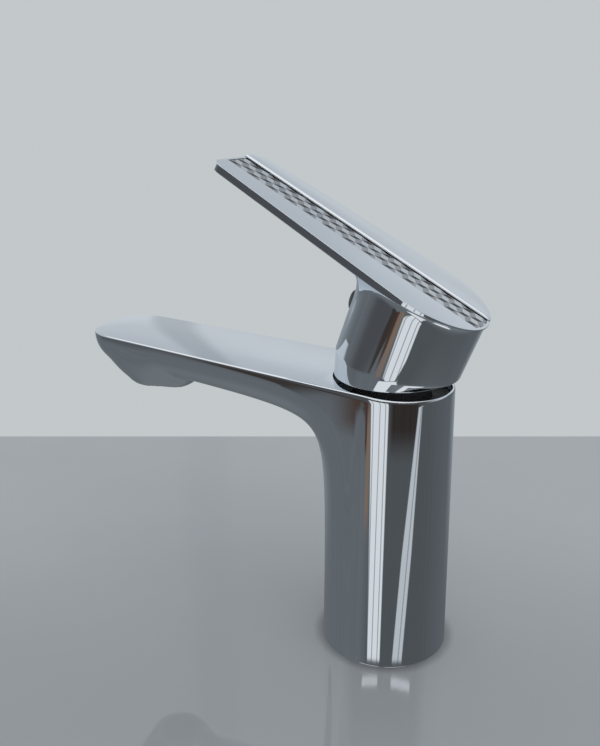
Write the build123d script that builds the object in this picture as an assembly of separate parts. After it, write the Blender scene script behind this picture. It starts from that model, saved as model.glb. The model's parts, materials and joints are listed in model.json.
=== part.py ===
from build123d import *
import math
import os

# Single-lever basin mixer, standing on its base.
# Millimetres. Origin at the centre of the base on the deck, spout towards -Y, +Z up.

# Column and spout
base_radius = 23.0
top_radius = base_radius - 1.5
top_height = 101.4
top_slope = 2.95
spout_taper = 1.9
spout_reach = 122.8
nose_length = 17.3
nose_power = 3.0
spout_depth = 13.9
section_power = 2.3
root_blend = 56.0
bowl_radius = 24.0
bowl_depth = 22.8
bowl_power = 0.9
bowl_blend = 1.6
outlet_reach = 99.0
outlet_height = 87.0

# Inside of the column
base_recess_radius = base_radius - 3.4
base_recess_depth = 24.0
gasket_width = 1.6
gasket_height = 1.2
inlet_tap_radius = 4.5
inlet_tap_depth = 12.0
inlet_spacing = 15.0
inlet_reach = 3.4
feed_radius = 2.8
feed_spacing = 12.8
stud_tap_radius = 3.4
stud_tap_depth = 16.0
stud_reach = -11.0
riser_radius = 3.0
riser_reach = 9.6
riser_foot = 64.5
duct_start = 30.0
duct_half_width = 10.5
duct_height = 7.0
duct_roof = 3.2

# Cartridge
chamber_floor = 78.0
cartridge_radius = 13.6
cartridge_wall = 1.8
base_plate_height = 5.5
spigot_height = 4.5
disc_height = 4.0
carrier_height = 5.0
flange_radius = 16.2
flange_height = 3.5
nut_height = 8.3
cover_height = 1.0
recess_radius = top_radius - 1.0
lip_chamfer = 0.7
pivot_height = 116.0
pin_radius = 1.7
spindle_thickness = 6.4
spindle_depth = 7.0
square_side = 8.0
ball_radius = 2.4
arm_length = 16.5
lift_angle = 11.0
port_radius = 2.4
seal_radius = 3.4

# Handle
rim_radius = top_radius - 1.2
handle_wall = 1.7
rim_height = 103.1
heel_shift = -1.64
heel_half_length = rim_radius + 1.15
heel_half_width = rim_radius + 0.68
heel_round = 2.2
bend_height = 108.63
bend_slope = 11.1
neck_radius = top_radius + 0.85
neck_reach = -12.92
lever_slope = 28.5
lever_height = 140.95
lever_thickness = 2.7
lever_back = -12.5
lever_back_radius = neck_radius + 1.05
lever_tip = 69.5
lever_tip_half_width = lever_back_radius - 7.0
lever_tip_corner = 5.0
ridge_edge = 6.0
ridge_height = 0.6
inlay_near_edge = 7.0
inlay_thickness = 0.6
inlay_inset = 1.0
flare_radius = 7.0
plate_overhang = 1.0
roof_thickness = 2.2
hub_radius = 7.5
hub_foot = 124.2
screw_slope = 8.0
screw_height = 127.6
screw_radius = 2.4
screw_length = 7.0
plug_radius = 3.6
plug_height = 2.3
plug_proud = 1.0
mark_radius = 2.6
mark_height = 0.4

# Aerator
aerator_radius = 10.2
aerator_depth = 10.0
sleeve_wall = 1.4
sleeve_proud = 0.4
washer_height = 2.0
core_height = 6.0
core_cell = 2.9
core_web = 0.5
screen_height = 0.4

# Clearances
running_fit = 0.08
seat_fit = 0.05
free_gap = 0.3

# Sizes that follow from the ones above
slope = math.radians(top_slope)
taper = math.radians(spout_taper)
nose_start = spout_reach - nose_length
ledge_height = chamber_floor + base_plate_height
disc_floor = ledge_height + spigot_height
moving_floor = disc_floor + disc_height
carrier_floor = moving_floor + disc_height
carrier_top = carrier_floor + carrier_height
flange_top = ledge_height + flange_height
nut_top = flange_top + nut_height
bore_radius = cartridge_radius - cartridge_wall
rotor_radius = bore_radius - running_fit
rotor_floor = carrier_top + 1.0
ball_height = pivot_height - arm_length
disc_travel = arm_length * math.radians(lift_angle)
disc_offset = disc_travel / 2
rotor_top = pivot_height + 3.6
housing_lip = rotor_top + free_gap
housing_top = housing_lip + 1.8
boss_foot = housing_top + 0.7
spindle_top = hub_foot + 10.2
outlet_top = outlet_height + aerator_depth
gasket_inner = (base_recess_radius + base_radius - gasket_width) / 2
nut_radius = flange_radius + 0.8
disc_radius = bore_radius - free_gap
outlet_port_reach = -3.0
moving_radius = bore_radius - disc_offset - 2 * free_gap
carrier_half_width = 6.5
carrier_half_length = 7.0
seal_height = 1.4
notch_reach = square_side / 2 - 0.8
sleeve_foot = outlet_height - sleeve_proud
sleeve_lip = 0.8
core_radius = aerator_radius - sleeve_wall - seat_fit

# Shape of the lofted sections
edge_wall = 0.6
shoulder_reach = 1.4 * top_radius
ring_points = 48
section_points = 16
column_levels = [top_height * share for share in (0, 0.3, 0.45, 0.55, 0.63, 0.69, 0.74, 0.775, 0.805, 0.83, 0.85,
                                                  0.87, 0.885, 0.9, 0.92, 0.94, 0.97, 1.06)]
joint_overlap = 4.5
joint_inset = 0.35
joint_cover = 0.12
spout_start = shoulder_reach - joint_overlap
spout_stations = [spout_start + (nose_start - spout_start) * (index / 20) ** 1.5 for index in range(21)]
spout_stations += [nose_start + nose_length * share for share in (0.2, 0.36, 0.5, 0.63, 0.74, 0.84, 0.91, 0.96,
                                                                  0.99)]

# Planes that several pieces share
top_plane = Plane(origin=(0, 0, top_height), x_dir=(1, 0, 0), z_dir=(0, math.sin(slope), math.cos(slope)))
lever_turn = math.radians(lever_slope)
lever_plane = Plane(origin=(0, 0, lever_height), x_dir=(0, -math.cos(lever_turn), math.sin(lever_turn)),
                    z_dir=(0, math.sin(lever_turn), math.cos(lever_turn)))
bend_turn = math.radians(bend_slope)


def neck_plane(depth):
    """Plane under the lever plate, centred where the leaning part of the handle meets it."""
    centre = lever_plane.from_local_coords((neck_reach, 0, -depth))
    return Plane(origin=centre, x_dir=(1, 0, 0), z_dir=lever_plane.z_dir)


def front_reach(height):
    """Reach of the front of the handle's leaning part at one height."""
    low_reach = heel_shift + heel_half_length
    low_height = bend_height + low_reach * math.tan(bend_turn)
    neck_front = lever_plane.from_local_coords((neck_reach + neck_radius, 0, -lever_thickness))
    share = (height - low_height) / (neck_front.Z - low_height)
    return low_reach + share * (-neck_front.Y - low_reach)


screw_reach = front_reach(screw_height)
screw_turn = math.radians(screw_slope)
screw_plane = Plane(origin=(0, -screw_reach, screw_height), x_dir=(1, 0, 0),
                    z_dir=(0, -math.cos(screw_turn), math.sin(screw_turn)))
screw_tip = -(screw_reach - notch_reach) / math.cos(screw_turn)

foot = (Align.CENTER, Align.CENTER, Align.MIN)
head = (Align.CENTER, Align.CENTER, Align.MAX)


def upright(radius, floor, top, side=0.0, reach=0.0):
    return Pos(side, -reach, floor) * Cylinder(radius, top - floor, align=foot)


def ring(outer, inner, floor, top, side=0.0, reach=0.0):
    return upright(outer, floor, top, side, reach) - upright(inner, floor - 1, top + 1, side, reach)


def block(width, back, front, floor, top, side=0.0):
    return Pos(side, -(back + front) / 2, floor) * Box(width, front - back, top - floor, align=foot)


def along_screw(radius, start, end):
    return screw_plane * Pos(0, 0, start) * Cylinder(radius, end - start, align=foot)


def top_at(reach):
    return top_height + reach * math.tan(slope)


def half_width_at(reach):
    return (top_radius - max(reach, 0.0) * math.sin(taper)) / math.cos(taper)


def column_radius(height):
    return base_radius + (top_radius - base_radius) * height / top_height


def underside(side, reach):
    """Height of the spout's underside above the deck."""
    across = abs(side) / half_width_at(reach)
    along = max(0.0, (reach - nose_start) / nose_length)
    edge = min(1.0, (across ** nose_power + along ** nose_power) ** (1 / nose_power))
    fullness = max(0.0, 1.0 - edge ** section_power) ** (1 / section_power)
    plain = spout_depth * fullness
    centre_distance = math.hypot(side, reach - outlet_reach)
    bowl = bowl_depth * math.sqrt(max(0.0, 1.0 - (centre_distance / bowl_radius) ** 2))
    bowl = bowl * fullness ** bowl_power
    step = math.hypot(plain - bowl, bowl_blend * fullness)
    return top_at(reach) - (plain + bowl + step) / 2


def skin_height(side, reach):
    """Height of the skin under one point of the plan outside the column."""
    under = underside(side, reach)
    lead = math.hypot(side, reach) - column_radius(under)
    return under - 1 / (max(lead, 0.05) / root_blend + 1 / under)


def edge_reach(turn):
    """Distance from the axis to the edge of the top face, in one direction."""
    if math.cos(turn) <= math.sin(taper):
        return top_radius
    return top_radius / math.cos(math.pi / 2 - turn - taper)


def swell_radius(turn, height):
    """Distance of the skin from the axis at one height, in one direction."""
    wall = column_radius(height)
    if math.cos(turn) <= math.sin(taper):
        return wall
    low = wall
    high = max(min(edge_reach(turn), shoulder_reach / max(math.cos(turn), 0.01)), wall)
    for _ in range(40):
        middle = (low + high) / 2
        under = underside(middle * math.sin(turn), middle * math.cos(turn))
        gap = under - height
        if gap <= 0 or middle - wall < root_blend * (1 / gap - 1 / under):
            low = middle
        else:
            high = middle
    return (low + high) / 2


def column_solid():
    """Column with the shoulder that swells towards the spout."""
    wires = []
    for height in column_levels:
        points = []
        for index in range(ring_points):
            turn = 2 * math.pi * index / ring_points
            radius = swell_radius(min(turn, 2 * math.pi - turn), height)
            points.append(Vector(radius * math.sin(turn), -radius * math.cos(turn), height))
        wires.append(Wire([Edge.make_spline(points, periodic=True)]))
    return Solid.make_loft(wires, ruled=True)


def joint_offset(reach):
    """How far the spout's skin lies inside the column's skin where the two overlap."""
    before = (shoulder_reach - reach) / joint_overlap
    if before >= 0:
        return joint_inset * before - joint_cover * (1 - before)
    return min(0.0, -joint_cover * (1 + before))


def spout_solid():
    """Spout from the shoulder to the tip, as boat-shaped sections."""
    wires = []
    for reach in spout_stations:
        along = max(0.0, (reach - nose_start) / nose_length)
        half_width = half_width_at(reach) * (1 - along ** nose_power) ** (1 / nose_power)
        narrow = 1 - joint_offset(reach) / half_width
        points = []
        for index in range(section_points + 1):
            turn = math.pi * index / section_points
            side = -half_width * math.cos(turn)
            height = skin_height(side, reach) + joint_offset(reach)
            points.append(Vector(side * narrow, -reach, min(height, top_at(reach) - edge_wall)))
        left = Vector(-half_width * narrow, -reach, top_at(reach))
        right = Vector(half_width * narrow, -reach, top_at(reach))
        bottom = Edge.make_spline(points)
        wires.append(Wire([bottom, Edge.make_line(points[-1], right), Edge.make_line(right, left),
                           Edge.make_line(left, points[0])]))
    return Solid.make_loft(wires, ruled=True)


def riser():
    """Passage from the cartridge's outlet up to the spout."""
    end_reach = duct_start + 4.0
    end_height = top_at(end_reach) - duct_roof - duct_height / 2
    run = end_reach - riser_reach
    climb = end_height - riser_foot
    climb_plane = Plane(origin=(0, -riser_reach, riser_foot), x_dir=(1, 0, 0), z_dir=(0, -run, climb))
    bore = climb_plane * Cylinder(riser_radius, math.hypot(run, climb), align=foot)
    bore = bore + upright(riser_radius, riser_foot, chamber_floor + 1, 0, riser_reach)
    return bore + Pos(0, -riser_reach, riser_foot) * Sphere(riser_radius)


def duct():
    """Flat waterway inside the spout."""
    length = outlet_reach + aerator_radius - 3.0 - duct_start
    roof_plane = top_plane * Pos(0, -duct_start / math.cos(slope), -duct_roof)
    core = roof_plane * Pos(0, -length / 2, 0) * Box(2 * duct_half_width, length, duct_height, align=head)
    return fillet(core.edges(), duct_height / 3)


def body_casting():
    above = top_plane * Box(200, 400, 40, align=foot)
    body = (column_solid() - above) + spout_solid()
    body = body - upright(bowl_radius - 4, outlet_height - 15, outlet_height, 0, outlet_reach)
    body = body - upright(base_recess_radius, -1, base_recess_depth)
    body = body - ring(gasket_inner + gasket_width, gasket_inner, 0, gasket_height)
    tap_top = base_recess_depth + inlet_tap_depth
    for hand in (-1, 1):
        body = body - upright(inlet_tap_radius, base_recess_depth - 1, tap_top, hand * inlet_spacing / 2, inlet_reach)
        body = body - upright(feed_radius, tap_top - 1, chamber_floor + 1, hand * feed_spacing / 2, inlet_reach)
    body = body - upright(stud_tap_radius, base_recess_depth - 1, base_recess_depth + stud_tap_depth, 0, stud_reach)
    body = body - upright(cartridge_radius + free_gap, chamber_floor, ledge_height + 1)
    body = body - upright(nut_radius, ledge_height, nut_top + 1)
    body = body - upright(recess_radius, nut_top, top_height + 20)
    lip = Cone(recess_radius - lip_chamfer, recess_radius + 2 * lip_chamfer, 3 * lip_chamfer)
    body = body - top_plane * Pos(0, 0, -lip_chamfer / 2) * lip
    body = body - riser()
    body = body - duct()
    return body - upright(aerator_radius, outlet_height - 1, outlet_top, 0, outlet_reach)


def base_gasket():
    return ring(gasket_inner + gasket_width - seat_fit, gasket_inner + seat_fit, 0, gasket_height)


def port_positions():
    return [(-feed_spacing / 2, inlet_reach), (feed_spacing / 2, inlet_reach), (0.0, riser_reach)]


def cartridge_base():
    """Distributor plate under the discs, which leads the outlet forward between the inlets."""
    piece = upright(cartridge_radius, chamber_floor, ledge_height)
    piece = piece + upright(disc_radius, ledge_height, disc_floor)
    middle = (chamber_floor + seal_height + ledge_height) / 2
    for side, reach in port_positions()[:2]:
        piece = piece - upright(port_radius, chamber_floor - 1, disc_floor + 1, side, reach)
    piece = piece - upright(port_radius, middle, disc_floor + 1, 0, outlet_port_reach)
    piece = piece - block(1.9 * port_radius, outlet_port_reach, riser_reach, middle - 1.2, middle + 1.2)
    piece = piece - upright(port_radius, chamber_floor - 1, middle + 1.2, 0, riser_reach)
    for side, reach in port_positions():
        piece = piece - upright(seal_radius, chamber_floor - 1, chamber_floor + seal_height, side, reach)
    return piece


def port_seal(place):
    side, reach = place
    return ring(seal_radius - seat_fit, port_radius, chamber_floor, chamber_floor + seal_height, side, reach)


def fixed_disc():
    piece = upright(disc_radius, disc_floor, moving_floor)
    for side, reach in port_positions()[:2] + [(0.0, outlet_port_reach)]:
        piece = piece - upright(port_radius, disc_floor - 1, moving_floor + 1, side, reach)
    return piece


def moving_disc():
    piece = upright(moving_radius, moving_floor, carrier_floor, 0, -disc_offset)
    pocket_front = inlet_reach - port_radius - free_gap
    return piece - block(5 * port_radius, pocket_front - 8.3, pocket_front, moving_floor - 1, moving_floor + 2)


def disc_carrier():
    piece = block(2 * carrier_half_width, -disc_offset - carrier_half_length, -disc_offset + carrier_half_length,
                  carrier_floor, carrier_top)
    reach = ball_radius + free_gap
    return piece - block(2 * reach, -reach, reach, ball_height - ball_radius - free_gap, carrier_top + 1)


def cartridge_housing():
    piece = upright(cartridge_radius, ledge_height, housing_top)
    piece = piece + upright(flange_radius, ledge_height, flange_top)
    piece = piece - upright(bore_radius, ledge_height - 1, housing_lip)
    return piece - upright(bore_radius - 2.4, housing_lip - 1, housing_top + 1)


def spindle_rotor():
    """Turning plug that carries the pin and steers the disc carrier between two cheeks."""
    piece = upright(rotor_radius, rotor_floor, rotor_top)
    inner = carrier_half_width + free_gap / 2
    for hand in (-1, 1):
        cheek = block(2.5, -6, 6, carrier_floor + 1, rotor_floor + 1, hand * (inner + 1.25))
        piece = piece + cheek
    lean = math.tan(math.radians(lift_angle))
    half = spindle_depth / 2 / math.cos(math.radians(lift_angle)) + free_gap
    back = -half - (rotor_top - pivot_height) * lean
    front = half + (pivot_height - rotor_floor) * lean
    piece = piece - block(spindle_thickness + free_gap, back, front, rotor_floor - 1, rotor_top + 1)
    pin_bore = Pos(0, 0, pivot_height) * Rot(0, 90, 0) * Cylinder(pin_radius + 0.02, 4 * rotor_radius)
    return piece - pin_bore


def spindle_pin():
    return Pos(0, 0, pivot_height) * Rot(0, 90, 0) * Cylinder(pin_radius, 2 * rotor_radius - 3)


def spindle():
    square_foot = pivot_height + 6.0
    tongue_foot = pivot_height - 8.5
    piece = block(spindle_thickness, -spindle_depth / 2, spindle_depth / 2, tongue_foot, square_foot)
    piece = piece + block(square_side, -square_side / 2, square_side / 2, square_foot, spindle_top)
    piece = piece + upright(ball_radius * 0.67, ball_height, tongue_foot + 0.5)
    piece = piece + Pos(0, 0, ball_height) * Sphere(ball_radius)
    piece = piece - Pos(0, 0, pivot_height) * Rot(0, 90, 0) * Cylinder(pin_radius + running_fit, 20)
    return piece - along_screw(screw_radius + free_gap / 2, screw_tip, 0)


def retaining_nut():
    piece = ring(nut_radius - seat_fit, cartridge_radius + free_gap, flange_top, nut_top)
    for index in range(6):
        slot = Rot(0, 0, 60 * index) * Pos(nut_radius, 0, nut_top) * Box(8, 4, 4)
        piece = piece - slot
    return piece


def nut_cover():
    return ring(recess_radius - free_gap, cartridge_radius + free_gap, nut_top, nut_top + cover_height)


def lever_outline(inset):
    """Plan of the lever plate in its own plane: round back, tapering to a soft-cornered tip."""
    corner = lever_tip_corner - inset
    tip = lever_tip - lever_tip_corner
    side = lever_tip_half_width - lever_tip_corner
    back = Pos(lever_back, 0) * Circle(lever_back_radius - inset)
    corners = Pos(tip, side) * Circle(corner) + Pos(tip, -side) * Circle(corner)
    return make_hull((back.edges() + corners.edges()))


def below_lever(depth):
    return lever_plane * Pos(0, 0, -depth) * Box(300, 300, 200, align=head)


def lever_slab(inset, top, thickness):
    return extrude(lever_plane * Pos(0, 0, top) * lever_outline(inset), amount=-thickness,
                   dir=lever_plane.z_dir)


def handle_tube(shrink, foot_height, depth):
    """Short round skirt that bends, over a rounded heel, into a part that leans back and widens."""
    rows = []
    for index in range(ring_points):
        turn = 2 * math.pi * index / ring_points
        ahead = math.cos(turn)
        aside = math.sin(turn)
        rim = rim_radius - shrink
        low = Vector(rim * aside, -rim * ahead, foot_height)
        reach = heel_shift + (heel_half_length - shrink) * ahead
        heel = Vector((heel_half_width - shrink) * aside, -reach, bend_height + reach * math.tan(bend_turn))
        neck = neck_radius - shrink
        high = lever_plane.from_local_coords(Vector(neck_reach + neck * ahead, neck * aside, -depth))
        down = heel + (low - heel).normalized() * heel_round
        up = heel + (high - heel).normalized() * heel_round * 1.3
        rows.append([low, down, (down + heel * 2 + up) * 0.25, up, high])
    wires = [Wire([Edge.make_spline(list(points), periodic=True)]) for points in zip(*rows)]
    return Solid.make_loft(wires, ruled=True)


def flare():
    """Concave flare where the leaning part meets the lever plate."""
    plane = neck_plane(lever_thickness)
    neck = neck_radius - 0.6
    body = plane * Cylinder(neck + flare_radius, flare_radius, align=head)
    groove = plane * Pos(0, 0, -flare_radius) * Torus(neck + flare_radius, flare_radius)
    return (body - groove) & lever_slab(plate_overhang, 0, lever_thickness + flare_radius)


def handle_shell():
    outside = handle_tube(0, rim_height, lever_thickness - 0.5) + flare()
    plate = lever_slab(0, 0, lever_thickness)
    ridge = lever_slab(0, ridge_height, ridge_height + lever_thickness / 2)
    ridge = ridge & (lever_plane * Pos(0, -ridge_edge, 0) * Box(300, 100, 20, align=(Align.CENTER, Align.MAX,
                                                                                     Align.CENTER)))
    outside = outside + plate + ridge
    hollow = handle_tube(handle_wall, rim_height - 1, lever_thickness + roof_thickness)
    hub = upright(hub_radius, hub_foot, lever_height) & below_lever(lever_thickness / 2)
    boss = along_screw(screw_radius + 1.8, screw_tip, 0) & upright(recess_radius, boss_foot, lever_height)
    shell = (outside - hollow) + ((hub + boss) & outside)
    square = square_side + 2 * seat_fit
    shell = shell - block(square, -square / 2, square / 2, hub_foot - 10, spindle_top + free_gap)
    shell = shell - along_screw(screw_radius + seat_fit, screw_tip, 10)
    shell = shell - along_screw(plug_radius + seat_fit, plug_proud - plug_height, 10)
    return shell - inlay_pocket(inlay_inset, 0.0)


def inlay_pocket(inset, shrink):
    near = inlay_near_edge - shrink
    far = -ridge_edge + shrink
    strip = lever_plane * Pos(0, (near + far) / 2, 0) * Box(300, near - far, 4 * inlay_thickness)
    return lever_slab(inset, 0, inlay_thickness) & strip


def set_screw():
    piece = along_screw(screw_radius, screw_tip, screw_tip + screw_length)
    socket = screw_plane * Pos(0, 0, screw_tip + screw_length) * extrude(RegularPolygon(1.5, 6), amount=-3)
    return piece - socket


def index_plug():
    piece = along_screw(plug_radius, plug_proud - plug_height, plug_proud)
    piece = fillet(piece.edges().sort_by(Axis.Y)[0], 0.5)
    stem_end = screw_tip + screw_length + free_gap
    piece = piece + along_screw(screw_radius, stem_end, plug_proud - plug_height + 0.1)
    return piece - along_screw(mark_radius, plug_proud - mark_height, plug_proud + 1)


def index_mark(hand):
    disc = along_screw(mark_radius - seat_fit, plug_proud - mark_height, plug_proud)
    half = screw_plane * Pos(hand * (10 + seat_fit), 0, 0) * Box(20, 40, 20)
    return disc & half


def aerator_sleeve():
    piece = ring(aerator_radius - seat_fit, aerator_radius - sleeve_wall, sleeve_foot, outlet_top - washer_height, 0,
                 outlet_reach)
    return piece + ring(aerator_radius - seat_fit, aerator_radius - sleeve_wall - 0.6, sleeve_foot,
                        sleeve_foot + sleeve_lip, 0, outlet_reach)


def aerator_core():
    """Flow straightener with a grid of six-sided cells."""
    floor = sleeve_foot + sleeve_lip
    piece = upright(core_radius, floor, floor + core_height, 0, outlet_reach)
    pitch = core_cell + core_web
    cells = []
    for row in range(-4, 5):
        for column in range(-4, 5):
            side = pitch * (column + row / 2)
            ahead = pitch * row * math.sqrt(0.75)
            if math.hypot(side, ahead) < core_radius - core_cell * 0.75:
                cells.append(Pos(side, ahead - outlet_reach) * RegularPolygon(core_cell / 2, 6, major_radius=False,
                                                                              rotation=30))
    grid = Pos(0, 0, floor - 1) * Sketch(children=cells)
    return piece - extrude(grid, amount=core_height + 2)


def aerator_screen():
    floor = sleeve_foot + sleeve_lip + core_height
    return upright(core_radius, floor, floor + screen_height, 0, outlet_reach)


def aerator_washer():
    return ring(aerator_radius - seat_fit, aerator_radius - 2.4, outlet_top - washer_height, outlet_top, 0,
                outlet_reach)


pieces = {
    "body_casting": body_casting(),
    "base_gasket": base_gasket(),
    "cartridge_base": cartridge_base(),
    "inlet_seal_hot": port_seal(port_positions()[0]),
    "inlet_seal_cold": port_seal(port_positions()[1]),
    "outlet_seal": port_seal(port_positions()[2]),
    "fixed_disc": fixed_disc(),
    "moving_disc": moving_disc(),
    "disc_carrier": disc_carrier(),
    "cartridge_housing": cartridge_housing(),
    "spindle_rotor": spindle_rotor(),
    "spindle_pin": spindle_pin(),
    "spindle": spindle(),
    "retaining_nut": retaining_nut(),
    "nut_cover": nut_cover(),
    "handle_shell": handle_shell(),
    "lever_inlay": inlay_pocket(inlay_inset + seat_fit, seat_fit),
    "set_screw": set_screw(),
    "index_plug": index_plug(),
    "index_mark_hot": index_mark(-1),
    "index_mark_cold": index_mark(1),
    "aerator_sleeve": aerator_sleeve(),
    "aerator_core": aerator_core(),
    "aerator_screen": aerator_screen(),
    "aerator_washer": aerator_washer(),
}

os.makedirs("parts", exist_ok=True)
for name, piece in pieces.items():
    export_step(piece, "parts/" + name + ".step")
    box = piece.bounding_box()
    print(name, len(piece.solids()), round(piece.volume, 1), [round(v, 2) for v in (*box.min, *box.max)])
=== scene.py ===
# %% [markdown]
# # A single-lever basin mixer
# The imported CAD model gives the joints and all the hidden pieces of the mixer. This lesson dresses it: the
# two large castings get smooth skins of their own, the lever gets its relief strip, and each finish is built
# from nodes. We start by loading the model as a fixed frame.

# %% Load the frame
import json
import math

import bmesh
import bpy
import numpy as np
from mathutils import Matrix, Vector
from mathutils.geometry import tessellate_polygon


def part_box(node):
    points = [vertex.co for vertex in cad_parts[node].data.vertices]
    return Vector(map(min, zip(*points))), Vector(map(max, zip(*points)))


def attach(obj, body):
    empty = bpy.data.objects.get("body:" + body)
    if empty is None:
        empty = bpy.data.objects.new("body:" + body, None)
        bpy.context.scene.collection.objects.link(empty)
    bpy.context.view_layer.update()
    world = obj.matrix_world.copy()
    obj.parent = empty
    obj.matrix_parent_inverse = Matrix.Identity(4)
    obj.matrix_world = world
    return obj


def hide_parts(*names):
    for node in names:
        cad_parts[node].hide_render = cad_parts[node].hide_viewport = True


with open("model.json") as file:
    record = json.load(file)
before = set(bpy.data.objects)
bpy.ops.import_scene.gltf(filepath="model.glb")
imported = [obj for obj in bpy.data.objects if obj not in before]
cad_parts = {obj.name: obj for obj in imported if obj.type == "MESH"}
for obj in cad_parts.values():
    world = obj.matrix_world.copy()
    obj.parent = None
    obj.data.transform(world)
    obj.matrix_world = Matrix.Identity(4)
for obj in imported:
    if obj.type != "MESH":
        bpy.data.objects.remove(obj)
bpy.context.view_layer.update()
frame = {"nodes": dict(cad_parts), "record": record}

MM = 0.001
nodes = frame["nodes"]
scene = bpy.context.scene


def placed(name, data):
    """New object in the scene."""
    piece = bpy.data.objects.new(name, data)
    scene.collection.objects.link(piece)
    return piece


# %% [markdown]
# ## Camera
# The mixer is seen from behind its right side and a little from above, so the spout runs away to the left. A
# lens of about 40 mm on a 36 mm sensor gives the strong perspective of a close product shot.


# %% Camera
def aim(piece, place, direction):
    """Put a camera or a lamp in its place, looking along a direction."""
    piece.location = place
    piece.rotation_mode = "QUATERNION"
    piece.rotation_quaternion = direction.to_track_quat("-Z", "Y")


camera_place, pitch = (0.255305, 0.094080, 0.19225), math.radians(18.18)
ahead = Vector((-0.8910, -0.4540, 0.0))
rightward = Vector((-0.4540, 0.8910, 0.0))
camera_data = bpy.data.cameras.new("camera")
camera_data.lens = 39.73
camera_data.sensor_width = 36.0
camera = placed("camera", camera_data)
aim(camera, camera_place, ahead * math.cos(pitch) - Vector((0, 0, math.sin(pitch))))
scene.camera = camera
scene.view_settings.view_transform = "Standard"
print("camera looks down by", round(math.degrees(pitch), 1), "degrees")

# %% [markdown]
# ## Node maths in plain Python
# A shader is arithmetic on fields. Code that adds Math nodes one by one is slow to read, so one small class
# wraps a socket and lets Python's operators add those nodes. Its `add` method makes any other node: first the
# node's settings, then the values or links of its sockets, where a list stands for several links to one
# socket. The same class serves materials, the world and Geometry Nodes.


# %% Socket wrapper
class Flow:
    """One socket of a node tree. Operators on it add Math nodes."""

    def __init__(self, tree, socket=None):
        self.tree = tree
        self.socket = socket

    def add(self, kind, settings=(), inputs=(), output=0):
        node = self.tree.nodes.new(kind)
        for name, value in dict(settings).items():
            if name == "stops":
                self.set_stops(node.color_ramp, value)
            else:
                setattr(node, name, value)
        for key, value in dict(inputs).items():
            socket = self.pick(node.inputs, key)
            for item in value if isinstance(value, list) else [value]:
                if isinstance(item, Flow):
                    self.tree.links.new(item.socket, socket)
                else:
                    socket.default_value = item
        return Flow(self.tree, self.pick(node.outputs, output)) if len(node.outputs) else node

    @staticmethod
    def pick(sockets, key):
        """Socket by its identifier, or else by its name or place."""
        same = [socket for socket in sockets if socket.identifier == key]
        return same[0] if same else sockets[key]

    @staticmethod
    def set_stops(ramp, stops):
        while len(ramp.elements) < len(stops):
            ramp.elements.new(1.0)
        for element, (place, colour) in zip(ramp.elements, stops):
            element.position = place
            element.color = (*colour, 1.0)

    def math(self, operation, *values):
        return self.add("ShaderNodeMath", {"operation": operation}, dict(enumerate(values)))

    def ease(self, low, high, start=0.0, end=1.0):
        """Soft step of this value from start to end while it runs from low to high."""
        return self.add("ShaderNodeMapRange", {"interpolation_type": "SMOOTHSTEP"},
                        {"Value": self, "From Min": low, "From Max": high, "To Min": start, "To Max": end})

    def mix(self, first, second):
        """Blend of two colours with this value as the share of the second."""
        first, second = [colour if isinstance(colour, Flow) else (*colour, 1.0) for colour in (first, second)]
        return self.add("ShaderNodeMix", {"data_type": "RGBA"},
                        {"Factor_Float": self, "A_Color": first, "B_Color": second}, "Result_Color")

    def axes(self):
        """The three components of this vector."""
        split = self.add("ShaderNodeSeparateXYZ", inputs={"Vector": self})
        return [Flow(self.tree, socket) for socket in split.socket.node.outputs]

    def vector(self, **axes):
        """Vector of the values given for X, Y and Z, with 0 for those left out."""
        return self.add("ShaderNodeCombineXYZ", inputs=axes)

    def __add__(self, other):
        return self.math("ADD", self, other)

    def __sub__(self, other):
        return self.math("SUBTRACT", self, other)

    def __rsub__(self, other):
        return self.math("SUBTRACT", other, self)

    def __mul__(self, other):
        return self.math("MULTIPLY", self, other)

    def __truediv__(self, other):
        return self.math("DIVIDE", self, other)

    def __abs__(self):
        return self.math("ABSOLUTE", self)

    __radd__ = __add__
    __rmul__ = __mul__


print("node wrapper ready")

# %% [markdown]
# ## The room around the chrome
# Polished chrome has almost no colour of its own: what we see on it is the room. The camera sees a plain
# pale wall, diffuse surfaces get an even pale light, and mirror-like rays get a soft studio: a pale wall
# ahead, a dim side behind the camera and upright light strips there. The strips are painted by direction
# with smooth steps, which costs nothing and has no edges that could show up as objects. They suit the
# camera's own view best.


# %% World
def emptied(owner):
    """Node tree of a world or a material, emptied."""
    owner.use_nodes = True
    owner.node_tree.nodes.clear()
    return Flow(owner.node_tree)


def noise(place, scale, detail=3.0):
    """Soft clouds over a place."""
    return place.add("ShaderNodeTexNoise", inputs={"Vector": place, "Scale": scale, "Detail": detail})


world = bpy.data.worlds.new("studio")
scene.world = world
room = emptied(world)
towards = room.add("ShaderNodeTexCoord", output="Generated")
east, north, lift = towards.axes()
behind = east * -ahead.x + north * -ahead.y
aside = east * rightward.x + north * rightward.y
turn = room.math("ARCTAN2", aside, behind) * math.degrees(1)
height = room.math("ARCSINE", lift) * math.degrees(1)


def strip(centre, half, soft):
    """Upright band of the room, 1 inside and 0 outside, by the turn away from straight behind the camera."""
    return abs(turn - centre).ease(half - soft, half + soft, 1.0, 0.0)


def level_band(low, high, soft):
    """Level band of the room between two heights above the horizon, in degrees."""
    return height.ease(low - soft, low + soft) * height.ease(high + soft, high - soft)


def barred_light(centre, half, bars):
    """Light strip with thin dark bars along it, all of which may lean."""
    light = strip(centre, half, 1.0)
    for bar in bars:
        light = light * (1.0 - strip(bar, 0.8, 0.5) * 0.65)
    return light


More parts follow.
